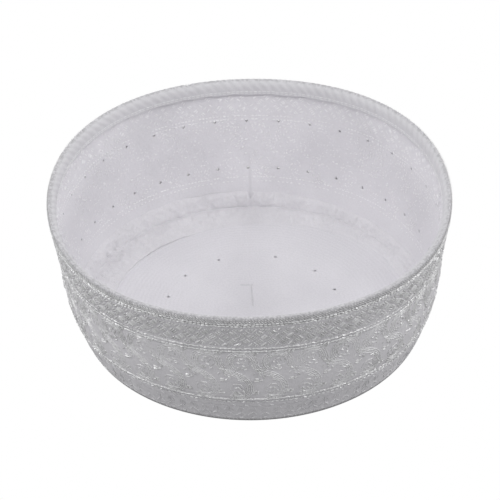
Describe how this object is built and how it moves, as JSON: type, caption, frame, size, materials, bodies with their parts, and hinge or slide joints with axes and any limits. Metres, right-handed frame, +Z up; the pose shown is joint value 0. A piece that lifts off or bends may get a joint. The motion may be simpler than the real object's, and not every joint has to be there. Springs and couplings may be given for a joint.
{
  "type": "prayer cap",
  "caption": "Round embroidered cotton prayer cap with a tapered side band, bound rim, worked eyelets and a flat crown, lying open side up.",
  "frame": {"origin": "centre of the outline on the surface that the cap rests on, under the crown's outer face", "axes": "+Z up from the crown's outer face towards the open rim, -Y towards the front, +X to the right seen from the front"},
  "size_m": [0.1783, 0.182, 0.0673],
  "materials": {
    "side_band": "white cotton with raised white thread embroidery",
    "rim_binding": "white cotton strip, overcast and stitched through",
    "crown_panel": "white cotton, quilted in rings",
    "seam_allowance": "raw-edged white cotton, unpressed",
    "embroidery": "bright white rayon thread with a soft sheen"
  },
  "bodies": {
    "root": {"side_band": "side_band", "rim_binding": "rim_binding", "crown_panel": "crown_panel", "band_allowance": "seam_allowance", "crown_allowance": "seam_allowance"}
  },
  "joints": []
}
